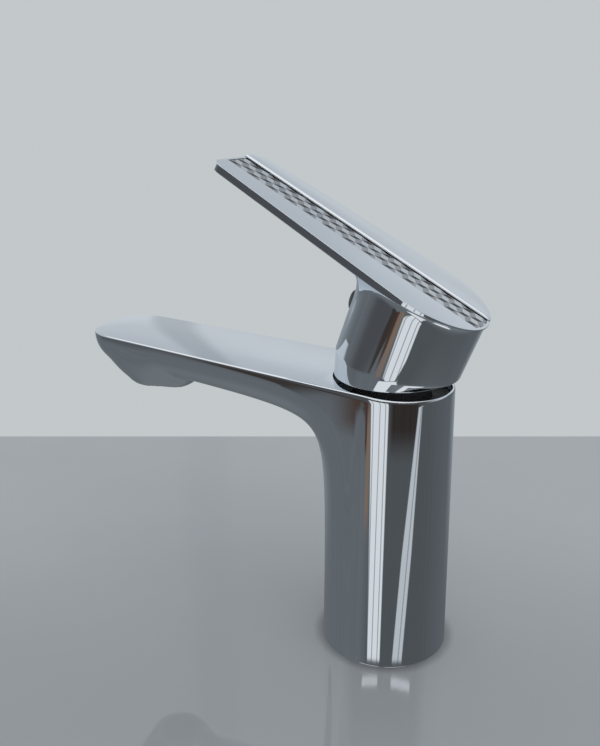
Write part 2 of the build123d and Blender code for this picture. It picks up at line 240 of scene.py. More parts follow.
cloud = noise(towards, 2.2, 1.5)
streak = room.add("ShaderNodeTexNoise", {"noise_dimensions": "1D"},
                  {"W": turn / 5.0, "Scale": 1.0, "Detail": 3.0})
drop = height.math("MINIMUM", height.math("MAXIMUM", -18.0 - height, -4.0), 19.0)
tall_light = barred_light(drop * 0.25 - 28.0, 16.0 - drop * 0.25, (drop * 0.2 - 39.5, -27.0, -17.0))
low_light = strip(-33.0, 18.0, 2.0) * level_band(-52.0, -36.8, 0.3)
low_light += strip(26.0, 26.0, 3.0) * level_band(-78.0, -55.0, 1.0)
slim_half = height.math("MINIMUM", drop * 0.55 + 3.0, 9.0)
slim_light = barred_light(48.0 - drop * 1.6, slim_half, (50.0 - drop * 1.6,))
over_table = height.ease(-35.75, -35.45)

# %% [markdown]
# The lower half of the room is what the upright walls mirror. It is grey on the left, darker straight behind
# the camera and grey again on the right, with a dark band high up and brown edges beside the tall light
# strip. Each row of the list is one coat: how much of it covers what lies below, and its colour.

# %% Lower half of the room
dim_left = height.ease(-24.0, -13.0) * strip(-66.0, 34.0, 14.0)
left_side = dim_left.mix((0.160, 0.175, 0.185), (0.080, 0.083, 0.088))
right_side = turn.ease(50.0, 130.0).mix((0.095, 0.103, 0.108), (0.125, 0.138, 0.148))
right_side = (level_band(-21.5, 25.0, 1.4) * strip(18.0, 26.0, 6.0)).mix(right_side, (0.028, 0.019, 0.015))
below = turn.ease(-30.0, -54.0).mix(right_side, left_side)
for share, colour in (
        (streak * 0.35, (0.07, 0.073, 0.076)),
        (strip(-59.0, 6.0, 2.5) * level_band(-19.4, -15.0, 0.5) * 0.9, (0.042, 0.031, 0.026)),
        (strip(-51.0, 3.4, 1.5) * level_band(-22.0, -17.6, 0.8), (0.066, 0.036, 0.026)),
        (strip(-47.0, 3.6, 1.6) * level_band(-27.0, -19.0, 1.5) * 0.9, (0.235, 0.165, 0.125)),
        (abs(turn).ease(120.0, 160.0) * height.ease(-34.0, -20.0), (0.27, 0.30, 0.33)),
        (tall_light * over_table * 0.82, (0.96, 0.97, 0.98)),
        (slim_light * over_table * height.ease(-15.0, -17.5) * 0.6, (0.88, 0.91, 0.94)),
        (height.ease(-40.0, -60.0), (0.18, 0.195, 0.205)),
        (low_light * 0.85, (0.95, 0.96, 0.97))):
    below = share.mix(below, colour)
print("nodes so far:", len(room.tree.nodes))

# %% [markdown]
# The upper half is a pale wall ahead, a dim side behind the camera and a white ceiling. The edge between the
# two halves is not level: behind the camera the dim side reaches higher. Two short bright patches serve the
# table alone, which mirrors the foot of the column.

# %% Upper half of the room and rays
above = height.ease(19.0, 34.0).mix((0.64, 0.67, 0.70), (0.56, 0.595, 0.63))
table_lights = (strip(-30.0, 15.0, 1.0) + strip(30.0, 19.0, 1.0)) * level_band(39.9, 40.5, 0.12)
for share, colour in (
        (cloud.ease(0.42, 0.62) * 0.22, (0.36, 0.39, 0.42)),
        (strip(-173.0, 1.6, 0.9) * 0.45, (0.30, 0.33, 0.36)),
        (abs(turn).ease(100.0, 56.0), (0.075, 0.074, 0.074)),
        (height.ease(42.0, 51.0), (1.0, 1.0, 1.0)),
        (table_lights, (3.2, 3.25, 3.3))):
    above = share.mix(above, colour)
horizon = abs(turn).ease(112.0, 150.0, 14.0, -5.0)
mirror_room = (height - horizon).ease(-2.5, 2.5).mix(below, above)
is_camera, is_glossy = [room.add("ShaderNodeLightPath", output=f"Is {kind} Ray")
                        for kind in ("Camera", "Glossy")]
seen = is_glossy.mix((0.78, 0.80, 0.82), mirror_room)
seen = is_camera.mix(seen, (0.545, 0.575, 0.595))
background = room.add("ShaderNodeBackground", inputs={"Color": seen, "Strength": 1.0})
room.add("ShaderNodeOutputWorld", inputs={"Surface": background})
print("world nodes:", len(room.tree.nodes))

# %% [markdown]
# ## Finishes
# Each finish is one material on Object coordinates. Chrome is a bright metal with a faint haze from
# polishing; satin steel, brass, rubber, ceramic and moulded plastics follow the same recipe with their own
# grain. One helper opens the tree and reads the coordinates, another closes it with a Principled shader.


# %% Material helpers
def open_finish(name):
    """Empty material and its Object coordinates."""
    material = bpy.data.materials.new(name)
    flow = emptied(material)
    return material, flow, flow.add("ShaderNodeTexCoord", output="Object")


def close_finish(flow, **sockets):
    """Principled shader with these sockets, linked to the output."""
    shader = flow.add("ShaderNodeBsdfPrincipled", inputs={key.replace("_", " "): value
                                                          for key, value in sockets.items()})
    flow.add("ShaderNodeOutputMaterial", inputs={"Surface": shader})


def grained(name, light, dark, roughness, spread, scale, grain, metallic=0.0):
    """A finish whose tone and gloss drift between two values, with a fine bump."""
    material, flow, place = open_finish(name)
    drift = noise(place, scale)
    fine = noise(place, scale * 9.0, 2.0)
    bump = flow.add("ShaderNodeBump", inputs={"Strength": grain, "Distance": 0.0001, "Height": fine})
    close_finish(flow, Base_Color=drift.mix(dark, light), Roughness=drift * spread + roughness,
                 Metallic=metallic, Normal=bump)
    return material


recipes = {
    "chrome_plate": ((0.775, 0.825, 0.875), (0.745, 0.790, 0.835), 0.012, 0.03, 60.0, 0.004, 1.0),
    "black_rubber": ((0.030, 0.030, 0.032), (0.018, 0.018, 0.019), 0.55, 0.2, 400.0, 0.25),
    "white_ceramic": ((0.86, 0.85, 0.82), (0.78, 0.77, 0.74), 0.12, 0.1, 300.0, 0.05),
    "cartridge_plastic": ((0.055, 0.055, 0.060), (0.038, 0.038, 0.042), 0.40, 0.2, 300.0, 0.15),
    "grey_plastic": ((0.16, 0.165, 0.17), (0.11, 0.115, 0.12), 0.22, 0.2, 300.0, 0.12),
    "black_plastic": ((0.020, 0.020, 0.021), (0.012, 0.012, 0.013), 0.35, 0.2, 300.0, 0.15),
    "steel": ((0.60, 0.61, 0.62), (0.48, 0.49, 0.50), 0.22, 0.15, 500.0, 0.10, 1.0),
    "bare_brass": ((0.83, 0.64, 0.33), (0.70, 0.50, 0.24), 0.25, 0.2, 400.0, 0.12, 1.0),
    "red_plastic": ((0.55, 0.03, 0.03), (0.42, 0.02, 0.02), 0.25, 0.15, 500.0, 0.08),
    "blue_plastic": ((0.03, 0.10, 0.50), (0.02, 0.07, 0.38), 0.25, 0.15, 500.0, 0.08),
}
finishes = {name: grained(name, *recipe) for name, recipe in recipes.items()}
chrome = finishes["chrome_plate"]
print("finishes:", ", ".join(finishes))

# %% [markdown]
# ## The table
# The mixer stands on a smooth grey table that mirrors it faintly and is painted darker towards us, with a
# painted contact shadow round the foot. A plain rectangle turned with the camera gives the straight far edge.
# Mirror-like rays do not see it, because the room painted above already holds the table's share: that keeps
# the light strips on the column unbroken down to its foot.


# %% Table
def table_finish():
    material, flow, place = open_finish("table_top")
    drift = noise(place, 25.0)
    x, y, _ = place.axes()
    depth = x * ahead.x + y * ahead.y
    from_foot = flow.math("SQRT", x * x + y * y)
    colour = drift.mix((0.372, 0.392, 0.412), (0.396, 0.415, 0.433))
    colour = depth.ease(0.10, -0.06, 0.0, 0.9).mix(colour, (0.290, 0.306, 0.320))
    # Painted contact shadow: a dark ring on the table round the foot of the column.
    colour = from_foot.ease(0.0275, 0.0226, 0.0, 0.6).mix(colour, (0.09, 0.095, 0.10))
    matt = flow.add("ShaderNodeBsdfDiffuse", inputs={"Color": colour})
    polish = flow.add("ShaderNodeBsdfGlossy", inputs={"Color": (1.0, 1.0, 1.0, 1.0), "Roughness": 0.03})
    top = flow.add("ShaderNodeMixShader", inputs={"Fac": 0.09, "Shader": matt, "Shader_001": polish})
    flow.add("ShaderNodeOutputMaterial", inputs={"Surface": top})
    return material


table_reach, table_edge = 3.0, 0.192
corners = [ahead * along + rightward * table_reach * side
           for along, side in ((table_edge, -1), (table_edge, 1), (-table_reach, 1), (-table_reach, -1))]
table_mesh = bpy.data.meshes.new("table")
table_mesh.from_pydata(corners, [], [(0, 3, 2, 1)])
table_mesh.materials.append(table_finish())
table = placed("table", table_mesh)
table.visible_glossy = False
print("table edge", round(table_edge / MM), "mm behind the column")

# %% [markdown]
# ## Lamp
# The world lights the mixer evenly from all sides. One wide, weak lamp above it adds a little direction.
# Mirror-like rays do not see the lamp, so the chrome shows the painted room alone.

# %% Lamp
lamp_place, lamp_target = Vector((0.35, 0.45, 1.1)), Vector((0, -0.03, 0.08))
lamp_data = bpy.data.lights.new("soft_key", "AREA")
lamp_data.shape = "RECTANGLE"
lamp_data.size, lamp_data.size_y = 1.2, 0.9
lamp_data.energy = 3.0
lamp = placed("soft_key", lamp_data)
aim(lamp, lamp_place, lamp_target - lamp_place)
lamp.visible_glossy = False
print("lamp of", lamp_data.energy, "watts")

# %% [markdown]
# ## Mesh helpers
# The castings are built from grids of points worked out with numpy. One helper turns a grid into quads, one
# fills a flat face between rings, and one closes the piece: it merges the seams, turns all normals outwards,
# keeps crisp edges sharp and reports any open edge.


# %% Mesh helpers
def loose_corners(bm, points):
    """New corners without faces, at points given in millimetres."""
    return [bm.verts.new(Vector(point) * MM) for point in points]


def add_grid(bm, columns, closed=False):
    """Quads over columns of points, given in millimetres."""
    made = [loose_corners(bm, column) for column in columns]
    for index in range(len(made) if closed else len(made) - 1):
        left, right = made[index], made[(index + 1) % len(made)]
        for row in range(len(left) - 1):
            bm.faces.new((left[row], right[row], right[row + 1], left[row + 1]))
    return made


def outward_normals(plan, middle):
    """Normals of a closed plan curve, away from a point inside it."""
    direction = np.roll(plan, -1, 0) - np.roll(plan, 1, 0)
    direction /= np.maximum(np.linalg.norm(direction, axis=1), 1e-9)[:, None]
    normal = np.stack([direction[:, 1], -direction[:, 0]], 1)
    return normal if np.sum(normal * (plan - middle)) > 0 else -normal


def row_of(columns, index):
    return [column[index] for column in columns]


def fill_between(bm, *rings):
    """Flat triangles inside the first ring and outside the others."""
    corners = [vertex for ring in rings for vertex in ring]
    for triple in tessellate_polygon([[vertex.co for vertex in ring] for ring in rings]):
        bm.faces.new([corners[index] for index in triple])


def chained(edges):
    """Corners of one closed loop of edges, in order."""
    links = {}
    for edge in edges:
        for vertex in edge.verts:
            links.setdefault(vertex, []).append(edge.other_vert(vertex))
    ring = [edges[0].verts[0]]
    previous = None
    while True:
        following = next(vertex for vertex in links[ring[-1]] if vertex is not previous)
        if following is ring[0]:
            return ring
        previous = ring[-1]
        ring.append(following)


def close_piece(bm, name, material, body, sharp=38.0):
    """Merged, outward and shaded mesh object that rides on a body."""
    bmesh.ops.remove_doubles(bm, verts=bm.verts, dist=2e-6)
    bmesh.ops.dissolve_degenerate(bm, edges=bm.edges, dist=1e-7)
    bmesh.ops.recalc_face_normals(bm, faces=bm.faces)
    for face in bm.faces:
        face.smooth = True
    for edge in bm.edges:
        if len(edge.link_faces) == 2:
            edge.smooth = edge.calc_face_angle() < math.radians(sharp)
    open_edges = sum(len(edge.link_faces) != 2 for edge in bm.edges)
    mesh = bpy.data.meshes.new(name)
    bm.to_mesh(mesh)
    bm.free()
    mesh.materials.append(material)
    piece = placed(name, mesh)
    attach(piece, body)
    print(name, len(mesh.polygons), "faces,", open_edges, "open edges")
    return piece


print("mesh helpers ready")

# %% [markdown]
# ## Column and spout
# On the real mixer the column, the shoulder and the spout are one brass casting, ground and plated. Its skin
# follows two rules: a slightly tapered column, and under the spout a section that is full in the middle and
# thins to an edge, with a bowl around the outlet. A third rule blends the two, so that the skin sweeps out
# of the column. Numpy can follow these rules point by point, which gives cleaner reflections than stretching
# a cage. The sizes repeat those of the CAD model in millimetres, a hair smaller where the skin has to stay
# inside it.

# %% Sizes of the casting
base_radius, top_radius, top_height = 23.0, 21.5, 101.4
top_slope, taper = math.radians(2.95), math.radians(1.9)
spout_reach, nose_length, nose_power = 122.62, 17.12, 3.0
spout_depth, section_power, root_blend = 13.9, 2.3, 56.0
bowl_radius, bowl_depth, bowl_power, bowl_blend = 24.0, 22.8, 0.9, 1.6
outlet_reach, outlet_height, outlet_radius, outlet_depth = 99.0, 87.0, 10.2, 10.0
outlet_flat, outlet_fade = 10.4, 2.6
nose_start = spout_reach - nose_length


def soft(share):
    """Smooth step from 0 to 1."""
    share = np.clip(share, 0.0, 1.0)
    return share * share * (3 - 2 * share)


def top_at(reach):
    return top_height + reach * math.tan(top_slope)


def half_width_at(reach):
    return (top_radius - np.maximum(reach, 0.0) * math.sin(taper)) / math.cos(taper)


def column_radius(level):
    return base_radius + (top_radius - base_radius) * level / top_height


def underside(side, reach):
    """Height of the spout's lower skin before it blends into the column."""
    across = np.abs(side) / half_width_at(reach)
    along = np.maximum(0.0, (reach - nose_start) / nose_length)
    edge = np.minimum(1.0, (across ** nose_power + along ** nose_power) ** (1 / nose_power))
    fullness = np.maximum(0.0, 1.0 - edge ** section_power) ** (1 / section_power)
    plain = spout_depth * fullness
    centre = np.hypot(side, reach - outlet_reach) / bowl_radius
    bowl = bowl_depth * np.sqrt(np.maximum(0.0, 1.0 - centre ** 2)) * fullness ** bowl_power
    step = np.hypot(plain - bowl, bowl_blend * fullness)
    return top_at(reach) - (plain + bowl + step) / 2


def skin_height(side, reach):
    """Height of the blended skin over a point of the plan, improved from a first guess."""
    under = underside(side, reach)
    out = np.hypot(side, reach)
    level = under - 3.0
    for _ in range(40):
        level = under - 1.0 / (np.maximum(out - column_radius(level), 1e-6) / root_blend + 1.0 / under)
    near = soft((np.hypot(side, reach - outlet_reach) - outlet_flat) / outlet_fade)
    return level * near + outlet_height * (1 - near)


def swell(turn_angle, level, limit):
    """Distance of the blended skin from the column's axis, no further than a limit."""
    low = column_radius(level)
    high = np.full_like(low, limit)
    wall = low.copy()
    for _ in range(50):
        middle = (low + high) / 2
        under = underside(middle * math.sin(turn_angle), middle * math.cos(turn_angle))
        gap = under - level
        inside = (gap <= 0) | (middle - wall < root_blend * (1 / np.maximum(gap, 1e-9) - 1 / under))
        low = np.where(inside, middle, low)
        high = np.where(inside, high, middle)
    return np.maximum(wall, np.minimum((low + high) / 2, limit))


print("spout reaches", spout_reach, "mm, outlet at", outlet_height, "mm")

# %% [markdown]
# The skin is split along a line across the root of the spout. Behind it the columns of points run up the
# wall at fixed turns around the axis; in front of it they run from the spout's keel out to its edge. Both
# sides use the same points along the line, so merging doubles later welds them.

# %% Points of the outer skin
seam_reach = 34.0
edge_steps = 30
shares = np.sin(np.linspace(0, math.pi / 2, edge_steps + 1))
seam_half = half_width_at(seam_reach)
foot_round, foot_support, foot_edge = 0.12, 0.2, ((0.05, 0.03), (0.13, 0.0))
lip_width, lip_depth, lip_sink = 0.70, 1.15, 0.20
edge_width, edge_depth = 0.65, 0.65
lip_end, lip_fade, sink_end, sink_fade = 4.0, 22.0, -6.0, 10.0


def edge_round(reach):
    """Width and depth of the rounded top edge, which is a lip behind, and how far it lies sunk."""
    share = soft((reach - lip_end) / lip_fade)
    return (lip_width + (edge_width - lip_width) * share, lip_depth + (edge_depth - lip_depth) * share,
            lip_sink * (1 - soft((reach - sink_end) / sink_fade)))


def rim_level(reach):
    """Height at which the wall ends and the rounded edge begins."""
    return top_at(reach) - sum(edge_round(reach)[1:])


def wall_rows(side, reach, start):
    """Upright rows from the skin's edge to where the rounded top edge begins."""
    return [(side, -reach, level) for level in np.linspace(start, rim_level(reach), 6)[1:]]


def spout_columns():
    """Columns from the keel to the edge, from the right seam end round the nose to the left one."""
    stations = seam_reach + (nose_start - seam_reach) * np.linspace(0, 1, 62)
    fine = np.linspace(0, math.pi, 4001)
    outline = np.stack([np.sign(np.cos(fine)) * np.abs(np.cos(fine)) ** (2 / nose_power)
                        * half_width_at(nose_start + nose_length * np.sin(fine) ** (2 / nose_power)),
                        nose_length * np.sin(fine) ** (2 / nose_power)], 1)
    travel = np.concatenate([[0], np.cumsum(np.hypot(*np.diff(outline, axis=0).T))])
    angles = np.interp(np.linspace(0, travel[-1], 64), travel, fine)[1:-1]
    plans = [(shares * half_width_at(reach), np.full_like(shares, reach)) for reach in stations]
    for angle in angles:
        reach = nose_start + nose_length * math.sin(angle) ** (2 / nose_power) * shares
        side = math.copysign(abs(math.cos(angle)) ** (2 / nose_power), math.cos(angle)) * shares
        plans.append((side * half_width_at(reach), reach))
    plans += [(-shares * half_width_at(reach), np.full_like(shares, reach)) for reach in stations[::-1]]
    columns = []
    for side, reach in plans:
        level = skin_height(side, reach)
        level[-1] = min(level[-1], rim_level(reach[-1]) - 0.05)
        column = [(x, -s, z) for x, s, z in zip(side, reach, level)]
        columns.append(column + wall_rows(side[-1], reach[-1], level[-1]))
    return columns


def edge_reach(turn_angle):
    if math.cos(turn_angle) <= math.sin(taper):
        return top_radius
    return top_radius / math.cos(math.pi / 2 - abs(turn_angle) - taper)


def wall_column(turn_angle, out, seam_level=None):
    """Column of points up the wall at one turn; out is how far it may swell."""
    reach = out * math.cos(turn_angle)
    end, rise = seam_level, []
    if seam_level is None:
        gap = 1 / (max(out - top_radius, 1e-6) / root_blend + 1 / top_at(reach))
        end = top_at(reach) - min(gap, 5.0)
        rise = np.linspace(end, rim_level(reach), 6)[1:]
    level = foot_round + (end - foot_round) * (1 - (1 - np.linspace(0, 1, 46)) ** 1.8)
    level = np.concatenate([[level[0], level[0] + foot_support], level[1:], rise])
    wall = swell(turn_angle, level, out)
    return [(r * math.sin(turn_angle), -r * math.cos(turn_angle), z) for r, z in zip(wall, level)]


spout = spout_columns()
print("spout grid:", len(spout), "x", len(spout[0]), "points")

# %% Build the casting's skin
seam_sides = np.concatenate([-shares[:0:-1], shares]) * seam_half
tangent_turn = math.pi / 2 - taper
side_reaches = np.linspace(seam_reach, top_radius * math.sin(taper), 24)[1:]
side_turns = [math.atan2(half_width_at(reach), reach) for reach in side_reaches]
rear_turns = np.linspace(tangent_turn, 2 * math.pi - tangent_turn, 111)[1:-1]
other_turns = side_turns + list(rear_turns) + [2 * math.pi - turn_angle for turn_angle in side_turns[::-1]]
signed = [turn_angle if turn_angle <= math.pi else turn_angle - 2 * math.pi for turn_angle in other_turns]

seam_columns = []
for side in seam_sides:
    out = math.hypot(side, seam_reach)
    level = skin_height(side, seam_reach)
    column = wall_column(math.atan2(side, seam_reach), out, level)
    seam_columns.append(column[:-1] + [(side, -seam_reach, level)])
right_rise = spout[0][len(shares):]
left_rise = spout[-1][len(shares):]
side_columns = [wall_column(turn_angle, edge_reach(turn_angle)) for turn_angle in signed]

skin = bmesh.new()
add_grid(skin, seam_columns)
add_grid(skin, [seam_columns[-1] + right_rise] + side_columns + [seam_columns[0] + left_rise])
add_grid(skin, spout)
print("wall columns:", len(seam_columns) + len(side_columns))

# %% [markdown]
# The top of the casting is flat. Its outer edge is rounded, just enough to catch the thin bright line that a
# ground edge shows, and round the column the rounding is taller and makes a lip. Inside it sits the round
# recess that the handle turns in, stepped down to the seat of the cartridge.

# %% Top, recess and foot
lip_inner, lip_chamfer, lip_drop = 20.76, 0.58, 1.25
recess_radius, recess_floor = 20.5, 95.3
nut_radius, nut_seat = 17.0, 83.5
chamber_radius, chamber_floor = 13.9, 78.0
groove_outer, groove_inner, groove_depth = 22.1, 20.5, 1.2
hollow_radius, hollow_depth = 19.6, 24.0
tap_places = ((4.5, 36.0, (-7.5, 3.4)), (4.5, 36.0, (7.5, 3.4)), (3.4, 40.0, (0.0, -11.0)))

rim = row_of(spout, -1) + row_of(side_columns[::-1], -1)
plan = np.array([(x, -y) for x, y, _ in rim])
outward = outward_normals(plan, [0.0, 40.0])
bend = np.linspace(0, math.pi / 2, 9)
top_columns = []
for (side, reach), (nx, ns) in zip(plan, outward):
    width, depth, sink = edge_round(reach)
    column = []
    for angle in bend:
        inward = width * (1 - math.cos(angle) ** 1.3)
        x, s = side - nx * inward, reach - ns * inward
        column.append((x, -s, top_at(s) - sink - depth * (1 - math.sin(angle) ** 1.3)))
    top_columns.append(column)
top_grid = add_grid(skin, top_columns, closed=True)

around = np.linspace(0, 2 * math.pi, 129)[:-1]


def lathe(bm, profile, centre=(0.0, 0.0), tilt_first=False):
    """Turned rows around an upright axis; the first rows may follow the sloping top."""
    columns = []
    for angle in around:
        column = []
        for index, (radius, level) in enumerate(profile):
            x, s = centre[0] + radius * math.sin(angle), centre[1] + radius * math.cos(angle)
            rise = s * math.tan(top_slope) if tilt_first and index < 2 else 0.0
            rise -= lip_drop * edge_round(s)[2] if tilt_first and index == 0 else 0.0
            column.append((x, -s, level + rise))
        columns.append(column)
    return add_grid(bm, columns, closed=True)


recess = lathe(skin, [(lip_inner, top_height), (recess_radius, top_height - lip_chamfer),
                      (recess_radius, recess_floor), (nut_radius, recess_floor), (nut_radius, nut_seat),
                      (chamber_radius, nut_seat), (chamber_radius, chamber_floor)], tilt_first=True)
fill_between(skin, row_of(top_grid, -1), row_of(recess, 0))
fill_between(skin, row_of(recess, -1))

foot_columns = []
for column in seam_columns + side_columns:
    x, y, _ = column[0]
    out = math.hypot(x, y)
    profile = [(out, foot_round)] + [(base_radius - inward, level) for inward, level in foot_edge]
    profile += [(groove_outer, 0.0), (groove_outer, groove_depth), (groove_inner, groove_depth),
                (groove_inner, 0.0), (hollow_radius, 0.0), (hollow_radius, hollow_depth)]
    foot_columns.append([(x / out * radius, y / out * radius, level) for radius, level in profile])
foot = add_grid(skin, foot_columns, closed=True)
taps = [lathe(skin, [(radius, hollow_depth), (radius, top)], centre) for radius, top, centre in tap_places]
fill_between(skin, row_of(foot, -1), *[row_of(tap, 0) for tap in taps])
for tap in taps:
    fill_between(skin, row_of(tap, -1))
print("foot ring of", len(foot), "columns,", len(taps), "threaded holes")

# %% [markdown]
# The outlet is a bore in the flat under the bowl. The faces over it are taken out of the grid, the hole left
# behind is made round and stitched to the circle from which the bore rises.

# %% Outlet bore
open_radius, cut_radius, cut_low, cut_high = 10.95, 11.0, 80.0, 95.0
bmesh.ops.remove_doubles(skin, verts=skin.verts, dist=2e-6)
doomed = [face for face in skin.faces
          if all(math.hypot(v.co.x, v.co.y + outlet_reach * MM) < cut_radius * MM
                 and cut_low * MM < v.co.z < cut_high * MM for v in face.verts)]
bmesh.ops.delete(skin, geom=doomed, context="FACES")
open_ring = chained([edge for edge in skin.edges if len(edge.link_faces) == 1])
for vertex in open_ring:
    turn_angle = math.atan2(vertex.co.x, vertex.co.y + outlet_reach * MM)
    x, y = open_radius * math.sin(turn_angle), open_radius * math.cos(turn_angle) - outlet_reach
    vertex.co = Vector((x, y, outlet_height)) * MM
bore = lathe(skin, [(outlet_radius, outlet_height), (outlet_radius, outlet_height + outlet_depth)],
             (0.0, outlet_reach))
fill_between(skin, open_ring, row_of(bore, 0))
fill_between(skin, row_of(bore, -1))
body_skin = close_piece(skin, "body_skin", chrome, "body")
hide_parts("body_casting")

# %% [markdown]
# ## Handle
# The handle is a second casting: a short round skirt, a rounded heel, a flank that leans back and widens,
# and a flat lever plate on top. Because one plan curve, the outline of the plate, can be joined ring by ring
# down to the rim, the whole outside is a single grid. Each column of it starts at the outline and runs
# inwards under the plate, down the flare and the flank, round the heel and up again inside the skirt.

# %% Sizes of the handle
rim_radius, rim_height, handle_wall = 20.3, 103.1, 1.7
heel_shift, heel_half_length, heel_half_width, heel_round = -1.64, 21.45, 20.98, 0.6
bend_height, bend_turn = 108.63, math.radians(11.1)
neck_radius, neck_reach, flare_radius = 22.35, -12.92, 11.0
lever_turn, lever_height, lever_thickness = math.radians(28.5), 140.95, 2.7
lever_back, lever_back_radius = -12.5, 23.39
lever_tip, lever_tip_half_width, lever_tip_corner = 69.5, 16.4, 5.0
back_points, rear_edge, least_flare, neck_wall, ceiling_drop = 46, 0.75, 3.2, 3.2, 2.2
ridge_edge, ridge_height, ridge_wall, ridge_shoulder, ridge_groove = 6.0, 0.6, 0.28, 1.35, 0.3
inlay_near, inlay_far, inlay_depth, inlay_inset = 7.0, -5.75, 0.6, 1.0
thin_start, thin_span = 0.9, 1.6
lever_middle = np.array([15.0, 0.0])
lever_along = np.array([0.0, -math.cos(lever_turn), math.sin(lever_turn)])
lever_across = np.array([1.0, 0.0, 0.0])
lever_up = np.array([0.0, math.sin(lever_turn), math.cos(lever_turn)])


def on_lever(along, across, up):
    """Point of the mixer from a point of the lever's own plane."""
    return np.array([0.0, 0.0, lever_height]) + along * lever_along + across * lever_across + up * lever_up


def lever_outline(inset):
    """Near half of the plate's outline, from the middle of its back to the middle of its tip."""
    tip, side = lever_tip - lever_tip_corner, lever_tip_half_width - lever_tip_corner
    span = math.hypot(tip - lever_back, side)
    lean = math.atan2(side, tip - lever_back) + math.acos((lever_back_radius - lever_tip_corner) / span)
    back, corner = lever_back_radius - inset, lever_tip_corner - inset
    turns = np.linspace(math.pi, lean, back_points)
    points = [(lever_back + back * math.cos(a), back * math.sin(a)) for a in turns]
    start = np.array(points[-1])
    end = np.array([tip + corner * math.cos(lean), side + corner * math.sin(lean)])
    points += [tuple(start + (end - start) * share) for share in np.linspace(0, 1, 40)[1:]]
    turns = np.linspace(lean, 0, 12)[1:]
    points += [(tip + corner * math.cos(a), side + corner * math.sin(a)) for a in turns]
    points += [(lever_tip - inset, side * share) for share in np.linspace(1, 0, 8)[1:]]
    return np.array(points)


print("lever plate", round(lever_tip - lever_back + lever_back_radius, 1), "mm long")

# %% [markdown]
# The far third of the plate stands a little higher than the rest. Where the step crosses the outline, a few
# extra columns carry its rounded profile round the edge of the plate, so nothing has to be cut or joined
# afterwards.


# %% Handle columns
def step_profile():
    """Height of the plate's top across the step: a fine groove, a low wall and a sloping shoulder."""
    low, high = -ridge_edge, -ridge_edge - ridge_shoulder
    return [(low + 0.20, 0.0), (low + 0.16, -ridge_groove), (low, -ridge_groove), (low, ridge_wall - 0.04),
            (low - 0.03, ridge_wall), (low - 0.08, ridge_wall + 0.03), (high + 0.10, ridge_height - 0.04),
            (high, ridge_height - 0.012), (high - 0.15, ridge_height)]


def outline_columns():
    """Outline of the plate as (along, across, top height), once around, with the step's points in place."""
    near = lever_outline(0.0)
    far = near[::-1][1:-1] * [1, -1]
    steps = step_profile()

    def along_at(across, rear):
        half = near[:back_points] if rear else near[back_points:]
        order = np.argsort(half[:, 1])
        return float(np.interp(-across, half[order, 1], half[order, 0]))

    loop = [(a, b, 0.0) for a, b in near]
    low = -steps[-1][0]
    loop += [(a, b, 0.0) for a, b in far if a > 0 and b > steps[0][0] + 0.05]
    loop += [(along_at(b, False), b, h) for b, h in steps]
    loop += [(a, b, ridge_height) for a, b in far if -b > low + 0.05]
    loop += [(along_at(b, True), b, h) for b, h in steps[::-1]]
    loop += [(a, b, 0.0) for a, b in far if a < 0 and b > steps[0][0] + 0.05]
    return np.array(loop)


outline = outline_columns()
step_count = len(step_profile())
print("handle outline of", len(outline), "points")


def unit(vector):
    return vector / np.linalg.norm(vector)


def curve(start, corner, end, count):
    """Points of a bend from start to end that a corner pulls out."""
    return [(1 - share) ** 2 * start + 2 * share * (1 - share) * corner + share ** 2 * end
            for share in np.linspace(0, 1, count)]


